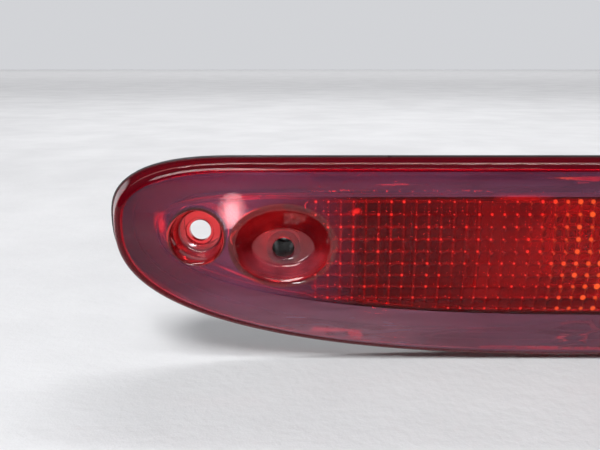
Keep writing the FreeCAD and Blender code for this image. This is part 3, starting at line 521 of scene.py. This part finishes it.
class Shader:
    """A node material with short calls for the nodes that the finishes share."""

    def __init__(self, name):
        self.material = bpy.data.materials.new(name)
        self.material.use_nodes = True
        self.nodes = self.material.node_tree.nodes
        self.main = self.nodes["Principled BSDF"]
        self.output = self.nodes["Material Output"]
        self.place = self.add("ShaderNodeTexCoord").outputs["Object"]

    def add(self, kind, **settings):
        """A new node; each setting is an input's constant, or else a property of the node."""
        node = self.nodes.new(kind)
        for key, value in settings.items():
            if key in node.inputs:
                node.inputs[key].default_value = value
            else:
                setattr(node, key, value)
        return node

    def link(self, source, target):
        self.material.node_tree.links.new(source, target)

    def feed(self, value, socket):
        """Sets a socket to a constant, or links it to another socket."""
        if isinstance(value, (float, tuple)):
            socket.default_value = value
        else:
            self.link(value, socket)

    def set(self, **values):
        for key, value in values.items():
            self.main.inputs[key.replace("_", " ")].default_value = value
        return self

    def noise(self, scale, detail=4.0, roughness=0.6, stretch=(1, 1, 1)):
        mapping = self.add("ShaderNodeMapping")
        mapping.inputs["Scale"].default_value = stretch
        self.link(self.place, mapping.inputs["Vector"])
        node = self.add("ShaderNodeTexNoise", Scale=scale, Detail=detail, Roughness=roughness)
        self.link(mapping.outputs["Vector"], node.inputs["Vector"])
        return node.outputs["Fac"]

    def cells(self, scale):
        node = self.add("ShaderNodeTexVoronoi", Scale=scale)
        self.link(self.place, node.inputs["Vector"])
        return node.outputs["Distance"]

    def spread(self, value, low, high, start=0.3, end=0.7):
        """Low where value is start, high where it is end, and clamped beyond them."""
        node = self.add("ShaderNodeMapRange")
        for key, number in (("From Min", start), ("From Max", end), ("To Min", low), ("To Max", high)):
            node.inputs[key].default_value = number
        self.link(value, node.inputs["Value"])
        return node.outputs["Result"]

    def ramp(self, value, first, second, start, end):
        """A colour that runs from first at start to second at end."""
        node = self.add("ShaderNodeValToRGB")
        elements = node.color_ramp.elements
        for element, position, colour in zip(elements, (start, end), (first, second)):
            element.position, element.color = position, (*colour, 1)
        self.link(value, node.inputs["Fac"])
        return node.outputs["Color"]

    def colours(self, value, first, second, start=0.35, end=0.65):
        self.link(self.ramp(value, first, second, start, end), self.main.inputs["Base Color"])
        return self

    def rough(self, value, low, high):
        self.link(self.spread(value, low, high), self.main.inputs["Roughness"])
        return self

    def maths(self, operation, first, second=0.0):
        node = self.add("ShaderNodeMath", operation=operation)
        for value, socket in zip((first, second), node.inputs):
            self.feed(value, socket)
        return node.outputs["Value"]

    def coordinate(self, axis):
        """The object's own X, Y or Z, in metres."""
        split = self.add("ShaderNodeSeparateXYZ")
        self.link(self.place, split.inputs["Vector"])
        return split.outputs[axis]

    def from_middle(self):
        """Distance from the lamp's middle along X, in metres."""
        return self.maths("ABSOLUTE", self.coordinate("X"))

    def bump(self, value, distance, strength=1.0):
        node = self.add("ShaderNodeBump", Strength=strength, Distance=distance)
        self.link(value, node.inputs["Height"])
        self.link(node.outputs["Normal"], self.main.inputs["Normal"])
        return self


def see_through(shader, surface, tint):
    """Lets light through a clear surface: shadow and diffuse rays pass with a tint.
    All other rays meet the surface.
    """
    clear = shader.add("ShaderNodeBsdfTransparent", Color=(*tint, 1))
    path = shader.add("ShaderNodeLightPath")
    passing = shader.maths("MAXIMUM", path.outputs["Is Shadow Ray"], path.outputs["Is Diffuse Ray"])
    mix = shader.add("ShaderNodeMixShader")
    shader.link(passing, mix.inputs["Fac"])
    shader.link(surface, mix.inputs[1])
    shader.link(clear.outputs["BSDF"], mix.inputs[2])
    shader.link(mix.outputs["Shader"], shader.output.inputs["Surface"])


def red_plastic(name, reds=DEEP_RED, tint=DEEP_TINT, shine=1.0):
    """Clear red acrylic with fine wiping scratches, ready for scatter_light."""
    shader = Shader(name)
    # A shine below 1 dims the reflections, a painted shade over what the lens reflects.
    shader.set(Transmission_Weight=1.0, IOR=1.47, Specular_Tint=(shine, shine, shine, 1))
    shader.colours(shader.noise(35.0, 3.0), *reds)
    scratches = shader.noise(900.0, 2.0, 0.5, (0.06, 1.0, 1.0))
    shader.rough(scratches, 0.01, 0.06)
    shader.bump(shader.noise(60.0, 2.0), 0.00006, 0.35)
    shader.scatter = shader.add("ShaderNodeBsdfDiffuse")
    shader.glow = shader.add("ShaderNodeMixShader")
    shader.link(shader.main.outputs["BSDF"], shader.glow.inputs[1])
    shader.link(shader.scatter.outputs["BSDF"], shader.glow.inputs[2])
    see_through(shader, shader.glow.outputs["Shader"], tint)
    return shader


def scatter_light(shader, amount, colour):
    """Mixes diffuse scatter into red plastic, which carries its haze and its painted glows, highlights and
    reflections. amount runs from 0 to 1; both are constants or sockets.
    """
    shader.feed(amount, shader.glow.inputs["Fac"])
    shader.feed(colour, shader.scatter.inputs["Color"])
    return shader


def wear_and_reflection_haze(shader, amount):
    """An amount of scatter, part wear haze and part painted reflection of the room, broken up as wear is:
    cloudy, with fine scratches.
    """
    cloudy = shader.spread(shader.noise(28.0, 5.0, 0.65, (0.5, 1.0, 1.0)), 0.75, 1.35)
    scratched = shader.spread(shader.noise(420.0, 3.0, 0.6, (0.08, 1.0, 1.0)), 0.85, 1.25)
    return shader.maths("MULTIPLY", shader.maths("MULTIPLY", cloudy, scratched), amount)


def less_at_tips(shader, amount):
    """An amount that fades towards the lens's tips."""
    return shader.maths("MULTIPLY", shader.spread(shader.from_middle(), 1.0, 0.4, 0.125, 0.160), amount)


def border_plastic(name):
    """The face outside the light chamber: a haze, part wear and part painted reflection, thickest and palest
    low down away from the middle, where it paints the floor's reflection.
    """
    shader = red_plastic(name, shine=0.55)
    low = shader.spread(shader.coordinate("Z"), 1.0, 0.0, -0.034, -0.014)
    low = shader.maths("MULTIPLY", low, shader.spread(shader.from_middle(), 0.45, 1.0, 0.04, 0.08))
    colour = shader.ramp(low, HAZE_AND_REFLECTION_COLOUR, LOW_HAZE_AND_FLOOR_REFLECTION_COLOUR, 0.0, 1.0)
    thick = shader.maths("MULTIPLY", shader.spread(low, 1.0, 1.7, 0.0, 1.0), BORDER_HAZE_AND_REFLECTION)
    return scatter_light(shader, wear_and_reflection_haze(shader, less_at_tips(shader, thick)), colour)


def hazed_face_with_dimmed_reflections(name):
    """The face over the light chamber: a haze towards the lamp's ends, part wear and part painted reflection
    of the room, clear over the optics, with reflections dimmed as a painted shade.
    """
    shader = red_plastic(name, shine=0.3)
    thick = shader.spread(shader.from_middle(), 0.004, 1.25 * BORDER_HAZE_AND_REFLECTION, 0.084, 0.12)
    return scatter_light(shader, wear_and_reflection_haze(shader, less_at_tips(shader, thick)), (*HAZE_AND_REFLECTION_COLOUR, 1))


def painted_glints(shader):
    """Painted glints for moulded ends and ribs inside the lens that catch the light: an oval spot for each
    row of the table.
    """
    total = 0.0
    for x, z, half_length, half_width, slope, strength in PAINTED_GLINTS:
        place = shader.add("ShaderNodeMapping", vector_type="TEXTURE")
        place.inputs["Location"].default_value = (x * MM, 0, z * MM)
        place.inputs["Rotation"].default_value = (0, math.radians(-slope), 0)
        place.inputs["Scale"].default_value = (half_length * MM, ANY_DEPTH, half_width * MM)
        shader.link(shader.place, place.inputs["Vector"])
        distance = shader.add("ShaderNodeVectorMath", operation="LENGTH")
        shader.link(place.outputs["Vector"], distance.inputs[0])
        spot = shader.spread(distance.outputs["Value"], strength, 0.0, 0.4, 1.1)
        total = shader.maths("MAXIMUM", spot, total)
    return shader.maths("MULTIPLY", total, shader.spread(shader.noise(300.0, 4.0), 0.5, 1.0))


def pillow_grid(shader):
    """Distances to the nearest creases across and up, and a random number for each pillow corner."""
    corner = shader.add("ShaderNodeCombineXYZ")
    creases = []
    for axis, shift in (("X", 0.0), ("Z", -ROW_Z * MM)):
        moved = shader.maths("ADD", shader.coordinate(axis), shift)
        creases.append(shader.maths("PINGPONG", moved, PITCH * MM / 2))
        number = shader.maths("ROUND", shader.maths("DIVIDE", moved, PITCH * MM))
        shader.link(number, corner.inputs[axis])
    chance = shader.add("ShaderNodeTexWhiteNoise")
    shader.link(corner.outputs["Vector"], chance.inputs["Vector"])
    return *creases, chance.outputs["Value"]


def optics_plastic(name):
    """The inner face: pillow optics with painted highlights on their creases and corners and a painted red
    glow, most of all near the bulb.
    """
    shader = red_plastic(name)
    middle = shader.from_middle()
    across, up, chance = pillow_grid(shader)
    patches = shader.spread(shader.noise(130.0), 0.15, 1.1)
    # Painted highlight along the pillows' creases, in patches
    crease = shader.spread(shader.maths("MINIMUM", across, up), 0.34, 0.0, 0.0001, 0.0008)
    crease = shader.maths("MULTIPLY", crease, patches)

    # Painted highlight dots on the corners, larger near the bulb
    squares = [shader.maths("POWER", line, 2.0) for line in (across, up)]
    off = shader.maths("SQRT", shader.maths("ADD", *squares))
    size = shader.spread(middle, 0.0011, 0.0006, 0.006, 0.032)
    size = shader.maths("MULTIPLY", size, shader.spread(chance, 0.75, 1.2, 0.0, 1.0))
    painted_dot = shader.spread(shader.maths("SUBTRACT", size, off), 0.0, 1.0, 0.0, 0.0004)
    painted_dot = shader.maths("MULTIPLY", painted_dot, shader.spread(chance, 0.6, 1.0, 0.0, 1.0))

    # Painted red glow over the bowl's middle, standing in for the light it throws back
    cloud = shader.spread(shader.noise(95.0, 3.0, 0.6, (1.0, 1.0, 0.6)), 0.35, 1.3)
    painted_bowl_glow = shader.maths("MULTIPLY", shader.spread(middle, 0.20, 0.03, 0.010, 0.075), cloud)
    painted_light = shader.maths("MAXIMUM", shader.maths("MAXIMUM", crease, painted_dot), painted_bowl_glow)
    painted_light = shader.maths("MULTIPLY", painted_light, shader.maths("LESS_THAN", middle, PILLOW_END_X * MM))
    painted_light = shader.maths("MAXIMUM", painted_light, painted_glints(shader))
    scatter_light(shader, painted_light, shader.ramp(painted_light, PAINTED_OPTICS_DARK, PAINTED_OPTICS_BRIGHT, 0.3, 0.8))

    # Painted glow: the corners over the bowl's middle emit light, standing in for the light the bowl throws
    # back.
    painted_focus_glow = shader.add("ShaderNodeEmission", Color=PAINTED_FOCUS_COLOUR, Strength=PAINTED_FOCUS_STRENGTH)
    strong = shader.maths("MULTIPLY", painted_dot, shader.spread(middle, 1.0, 0.0, 0.010, 0.024))
    mix = shader.add("ShaderNodeMixShader")
    shader.link(strong, mix.inputs["Fac"])
    shader.link(shader.scatter.outputs["BSDF"], mix.inputs[1])
    shader.link(painted_focus_glow.outputs["Emission"], mix.inputs[2])
    shader.link(mix.outputs["Shader"], shader.glow.inputs[2])
    return shader


def inside_plastic(name):
    """The lens's inner walls outside the optics, clear apart from their painted glints."""
    shader = red_plastic(name)
    return scatter_light(shader, painted_glints(shader), PAINTED_GLINT_COLOUR)


def well_plastic(name):
    """The wells and dishes: a painted red glow in warm patches below their lips stands in for light thick
    walls gather.
    What faces up and forwards is paler, a painted reflection of the bright room.
    """
    shader = red_plastic(name)
    patches = shader.noise(75.0, 3.0, 0.6)
    below_lip = shader.spread(shader.coordinate("Y"), 0.25, 1.0, FRONT_Y * MM, (FRONT_Y + 3.0) * MM)
    # Painted red glow in warm patches below the lips, standing in for light that thick walls gather
    painted_glow_patches = shader.maths("MULTIPLY", shader.spread(patches, 0.03, 0.19), below_lip)

    # Painted reflection: walls and floors that face up and forwards are paler
    facing = shader.add("ShaderNodeVectorMath", operation="DOT_PRODUCT")
    facing.inputs[1].default_value = PAINTED_VEIL_FACING
    shader.link(shader.add("ShaderNodeNewGeometry").outputs["Normal"], facing.inputs[0])
    painted_veil = shader.spread(facing.outputs["Value"], 0.0, 1.0, 0.3, 0.95)
    painted_veil = shader.maths("MULTIPLY", painted_veil, below_lip)

    colour = shader.add("ShaderNodeMixRGB", Color2=WELL_PAINTED_VEIL_COLOUR)
    shader.link(shader.maths("MULTIPLY", painted_veil, WELL_PAINTED_VEIL_MIX), colour.inputs["Fac"])
    shader.link(shader.ramp(patches, WELL_PAINTED_GLOW_DARK, WELL_PAINTED_GLOW_BRIGHT, 0.38, 0.64), colour.inputs["Color1"])
    amount = shader.maths("ADD", painted_glow_patches, shader.maths("MULTIPLY", painted_veil, WELL_PAINTED_VEIL))
    return scatter_light(shader, amount, colour.outputs["Color"])


def edge_plastic(name):
    """The lens's side wall and its rounded edge, painted a darker red because they look darkest when one
    looks along them, with dimmed reflections and a painted red glow.
    """
    shader = red_plastic(name, EDGE_RED, EDGE_TINT, EDGE_SHINE)
    return scatter_light(shader, EDGE_PAINTED_GLOW, EDGE_PAINTED_GLOW_COLOUR)


def clear_glass():
    shader = Shader("bulb_glass_clear")
    shader.set(Transmission_Weight=1.0, IOR=1.5, Roughness=0.0)
    shader.colours(shader.noise(40.0), (0.97, 0.98, 0.97), (1.0, 1.0, 1.0))
    shader.bump(shader.noise(90.0, 1.0), 0.0001, 0.3)
    see_through(shader, shader.main.outputs["BSDF"], (0.93, 0.95, 0.94))
    return shader.material


def moulded(name, dark, light, low, high, grain, depth):
    """Injection-moulded plastic or rubber with an even fine grain."""
    shader = Shader(name)
    shader.colours(shader.noise(70.0), dark, light)
    shader.rough(shader.noise(260.0), low, high)
    return shader.bump(shader.noise(grain, 6.0, 0.7), depth, 0.6).material


def foam(name):
    """Closed-cell foam: small open bubbles over a soft dark body."""
    shader = Shader(name)
    cells = shader.cells(1100.0)
    shader.colours(cells, (0.012, 0.012, 0.013), (0.05, 0.05, 0.052), 0.05, 0.5)
    shader.set(Roughness=0.92)
    return shader.bump(cells, 0.0004, 0.8).material


def metal(name, dark, light, low, high, scale=400.0, depth=0.00004):
    shader = Shader(name)
    shader.set(Metallic=1.0)
    shader.colours(shader.noise(60.0), dark, light)
    shader.rough(shader.noise(120.0, 5.0, 0.7), low, high)
    return shader.bump(shader.noise(scale, 3.0, 0.6), depth, 0.5).material


def board(name):
    """Laminated paper board, in thin layers across its thickness."""
    shader = Shader(name)
    layers = shader.noise(2500.0, 2.0, 0.5, (0.15, 1.0, 0.15))
    shader.colours(layers, (0.20, 0.09, 0.035), (0.34, 0.17, 0.07))
    shader.set(Roughness=0.6)
    return shader.bump(layers, 0.0001, 0.5).material


def masked_mirror(name):
    """Aluminised bowl, thinning out over dark wings."""
    shader = Shader(name)
    bare = shader.spread(shader.from_middle(), 0.0, 1.0, *(BOWL_EDGE_X + side for side in BOWL_FADE))
    shader.colours(bare, (0.60, 0.60, 0.61), (0.035, 0.03, 0.034), 0.0, 1.0)
    shader.link(shader.spread(bare, 1.0, 0.0, 0.0, 1.0), shader.main.inputs["Metallic"])
    shader.link(shader.spread(bare, 0.2, 0.4, 0.0, 1.0), shader.main.inputs["Roughness"])
    return shader.bump(shader.noise(300.0), 0.00003, 0.5).material


def finishes():
    """Each finish with the nodes that have it."""
    brass = metal("bright_brass", (0.70, 0.50, 0.20), (0.82, 0.62, 0.28), 0.16, 0.32)
    steel = metal("plated_steel", (0.52, 0.52, 0.52), (0.68, 0.68, 0.67), 0.22, 0.4)
    dull_tin = metal("soft_solder", (0.5, 0.5, 0.5), (0.66, 0.66, 0.65), 0.35, 0.55, 150.0, 0.0003)
    wire = metal("drawn_wire", (0.42, 0.41, 0.39), (0.55, 0.53, 0.5), 0.25, 0.4, 900.0)
    tin_brass = metal("tinned_brass", (0.62, 0.55, 0.36), (0.74, 0.68, 0.5), 0.25, 0.42)
    zinc = metal("zinc_plate", (0.58, 0.56, 0.48), (0.7, 0.68, 0.6), 0.25, 0.42)
    rubber = moulded("soft_rubber", (0.016, 0.016, 0.017), (0.03, 0.03, 0.031), 0.55, 0.75, 1400.0, 0.0001)
    silicone = moulded("silicone", (0.38, 0.07, 0.03), (0.5, 0.11, 0.05), 0.4, 0.55, 900.0, 0.00006)
    nylon = moulded("natural_nylon", (0.52, 0.50, 0.45), (0.62, 0.60, 0.54), 0.38, 0.6, 1200.0, 0.00012)
    dark, light = (0.022, 0.020, 0.021), (0.040, 0.037, 0.038)
    abs_black = moulded("black_abs", dark, light, 0.25, 0.42, 1600.0, 0.00008)
    bead = moulded("black_glass", (0.01, 0.01, 0.014), (0.02, 0.018, 0.03), 0.06, 0.15, 200.0, 0.00003)
    sponge = foam("closed_foam")
    return {
        abs_black: ["housing"],
        masked_mirror("aluminised_bowl"): ["reflector"],
        zinc: ["reflector_screws"],
        sponge: ["gasket", "well_seal_left", "well_seal_right"],
        rubber: ["boss_seal_left", "boss_seal_right", "vent_cap_left", "vent_cap_right"],
        clear_glass(): ["bulb_glass", "bulb_stem"],
        wire: ["bulb_supports", "bulb_filament"],
        brass: ["bulb_cap", "live_contact"],
        bead: ["bulb_insulator"],
        dull_tin: ["bulb_contact"],
        board("paper_board"): ["contact_plate"],
        tin_brass: ["terminal_live", "terminal_earth"],
        steel: ["holder_shell"],
        nylon: ["holder_body"],
        silicone: ["holder_seal"],
    }


for finish, members in finishes().items():
    for member in members:
        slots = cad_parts[member].data.materials
        for index in range(len(slots)):
            slots[index] = finish

# ---- Pieces ---------------------------------------------------------------------------------------

# The contact spring: its wire's radius in metres, its turns, and mesh steps round the wire and along a turn
SPRING_WIRE_R, SPRING_TURNS, WIRE_STEPS, TURN_STEPS = 0.00025, 2, 14, 64


def add_piece(name, data, body, node):
    """Puts a mesh into the scene on its body, in place of a node."""
    piece = bpy.data.objects.new(name, data)
    SCENE.collection.objects.link(piece)
    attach(piece, body)
    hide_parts(node)
    return piece


def add_lens():
    data = make_lens()
    lens_finishes = (
        inside_plastic("lens_inside_red"),
        edge_plastic("lens_edge_red"),
        well_plastic("lens_well_red"),
        border_plastic("lens_border_red"),
        optics_plastic("lens_optics_red"),
        hazed_face_with_dimmed_reflections("lens_face_red"),
    )
    for shader in lens_finishes:
        data.materials.append(shader.material)
    add_piece("lens_shell", data, "lamp", "lens")


def wire_mesh(name, centre, outward, along):
    """Round wire along a row of centres, where outward and along span its cross-section."""
    rows = len(centre)
    skin = []
    for step in range(WIRE_STEPS):
        angle = FULL_TURN * step / WIRE_STEPS
        skin.append(centre + SPRING_WIRE_R * (math.cos(angle) * outward + math.sin(angle) * along))
    points = np.stack(skin, 1).reshape(-1, 3)
    faces = []
    for row in range(rows - 1):
        for step in range(WIRE_STEPS):
            a, b = row * WIRE_STEPS + step, row * WIRE_STEPS + (step + 1) % WIRE_STEPS
            faces.append((a, b, b + WIRE_STEPS, a + WIRE_STEPS))
    faces.append(tuple(range(WIRE_STEPS)))
    faces.append(tuple(reversed(range((rows - 1) * WIRE_STEPS, rows * WIRE_STEPS))))
    data = bpy.data.meshes.new(name)
    data.from_pydata(points.tolist(), [], faces)
    data.shade_smooth()
    return data


def add_spring():
    """The contact spring as round wire, wound to fill its place in the design."""
    low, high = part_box("contact_spring")
    middle_x, middle_z = (low.x + high.x) / 2, (low.z + high.z) / 2
    radius = (high.x - low.x) / 2 - SPRING_WIRE_R
    rows = SPRING_TURNS * TURN_STEPS + 1
    turn = np.arange(rows) * FULL_TURN / TURN_STEPS
    x = middle_x + radius * np.cos(turn)
    y = np.linspace(low.y + SPRING_WIRE_R, high.y - SPRING_WIRE_R, rows)
    z = middle_z - radius * np.sin(turn)
    outward = np.stack([np.cos(turn), np.zeros(rows), -np.sin(turn)], -1)
    data = wire_mesh("contact_spring_wire", np.stack([x, y, z], -1), outward, np.array([0, 1, 0]))
    data.materials.append(metal("spring_wire", (0.5, 0.5, 0.5), (0.64, 0.63, 0.62), 0.2, 0.35, 900.0))
    piece = add_piece("contact_spring_wire", data, "holder", "contact_spring")
    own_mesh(piece)


add_lens()
add_spring()

# ---- Stage, light and camera ----------------------------------------------------------------------

FLOOR_Z = CAD_BOUNDS[0][2]
FLOOR_HALF_WIDTH, FLOOR_FRONT, FLOOR_BACK = 9.0, -6.0, 12.0
PALE, DARK, DIM = (0.76, 0.77, 0.80), (0.012, 0.012, 0.014), (0.17, 0.175, 0.19)
ROOM = ((0.135, PALE), (0.18, DARK), (0.45, DARK), (0.75, DIM))  # shades from the horizon up
ROOM_STRENGTH = 0.85
SUN_SPREAD = math.radians(24)
CARD_PLACE, CARD_AIM, CARD_COLOUR = (-0.161, -0.37, 0.0), (-0.13, -0.02, 0.0), (0.93, 0.96, 1.0)
CARDS = (((0.011, 0.07), 0.10), ((0.017, 0.10), 0.10), ((0.024, 0.13), 0.09))  # size and power of each
CAMERA_PLACE, CAMERA_DOWN = (-0.1048, -0.2441, 0.0558), 13.0  # metres, and degrees below level
SENSOR_MM, FOCAL_MM, CLIP_START = 36.0, 42.0, 0.005


def make_floor():
    """A pale sheet that runs level far behind the lamp."""
    ends, sides = (FLOOR_FRONT, FLOOR_BACK), (-FLOOR_HALF_WIDTH, FLOOR_HALF_WIDTH)
    points = [(x, y, FLOOR_Z) for y in ends for x in sides]
    data = bpy.data.meshes.new("studio_floor")
    data.from_pydata(points, [], [(0, 1, 3, 2)])
    shader = Shader("pale_paper")
    shader.set(Roughness=0.85)
    shader.colours(shader.noise(9.0, 5.0), (0.70, 0.70, 0.715), (0.78, 0.78, 0.795))
    shader.bump(shader.noise(180.0, 5.0, 0.65), 0.002, 0.25)
    data.materials.append(shader.material)
    floor = bpy.data.objects.new("studio_floor", data)
    SCENE.collection.objects.link(floor)


def add_light(name, kind, place, aim, power, colour=(1, 1, 1)):
    light = bpy.data.lights.new(name, kind)
    light.energy, light.color = power, colour
    holder = bpy.data.objects.new(name, light)
    holder.location = place
    holder.rotation_euler = (Vector(aim) - Vector(place)).to_track_quat("-Z", "Y").to_euler()
    SCENE.collection.objects.link(holder)
    return light


def add_panel(name, place, aim, size, power, colour=(1, 1, 1)):
    light = add_light(name, "AREA", place, aim, power, colour)
    light.shape = "RECTANGLE"
    light.size, light.size_y = size
    return light


def add_lights():
    add_light("soft_key", "SUN", (-0.35, -0.75, 1.1), (0, 0, 0), 2.1).angle = SUN_SPREAD
    add_panel("front_tube", (-0.12, -0.62, 1.15), (-0.1, 0, 0), (1.1, 0.05), 3.0)
    add_panel("rear_tube", (0.1, 1.2, 1.6), (0, 0.3, 0), (1.8, 0.10), 14.0)
    add_panel("far_ceiling", (0, 7.5, 4.0), (0, 7.5, 0), (12.0, 7.0), 130.0)
    add_panel("small_front", (-0.16, -0.45, 0.42), (-0.11, 0, 0), (0.10, 0.10), 0.6)
    # Nested ovals, whose reflection beside the well has a soft rim
    for size, power in CARDS:
        card = add_panel("low_card", CARD_PLACE, CARD_AIM, size, power, CARD_COLOUR)
        card.shape = "ELLIPSE"


def make_world():
    """A soft room: pale near the horizon, higher up in front than behind, dark above that and dim overhead.
    The view itself shows plain pale walls all the way up.
    """
    world = bpy.data.worlds.new("soft_room")
    world.use_nodes = True
    nodes, links = world.node_tree.nodes, world.node_tree.links
    place = nodes.new("ShaderNodeTexCoord")
    height = nodes.new("ShaderNodeVectorMath")
    height.operation = "DOT_PRODUCT"
    height.inputs[1].default_value = (0, 0.06, 1)
    shades = nodes.new("ShaderNodeValToRGB")
    elements = shades.color_ramp.elements
    while len(elements) < len(ROOM):
        elements.new(0.5)
    for element, (position, colour) in zip(elements, ROOM):
        element.position, element.color = position, (*colour, 1)
    path = nodes.new("ShaderNodeLightPath")
    walls = nodes.new("ShaderNodeMixRGB")
    walls.inputs["Color2"].default_value = (*PALE, 1)
    background = nodes["Background"]
    links.new(place.outputs["Generated"], height.inputs[0])
    links.new(height.outputs["Value"], shades.inputs["Fac"])
    links.new(path.outputs["Is Camera Ray"], walls.inputs["Fac"])
    links.new(shades.outputs["Color"], walls.inputs["Color1"])
    links.new(walls.outputs["Color"], background.inputs["Color"])
    background.inputs["Strength"].default_value = ROOM_STRENGTH
    SCENE.world = world


def make_camera():
    data = bpy.data.cameras.new("camera")
    data.sensor_width, data.lens = SENSOR_MM, FOCAL_MM
    data.clip_start = CLIP_START
    camera = bpy.data.objects.new("camera", data)
    camera.location = CAMERA_PLACE
    camera.rotation_euler = (math.radians(90 - CAMERA_DOWN), 0, 0)
    SCENE.collection.objects.link(camera)
    SCENE.camera = camera


make_floor()
make_world()
make_camera()
add_lights()
SCENE.view_settings.view_transform = "Standard"
SCENE.cycles.transparent_max_bounces = 24
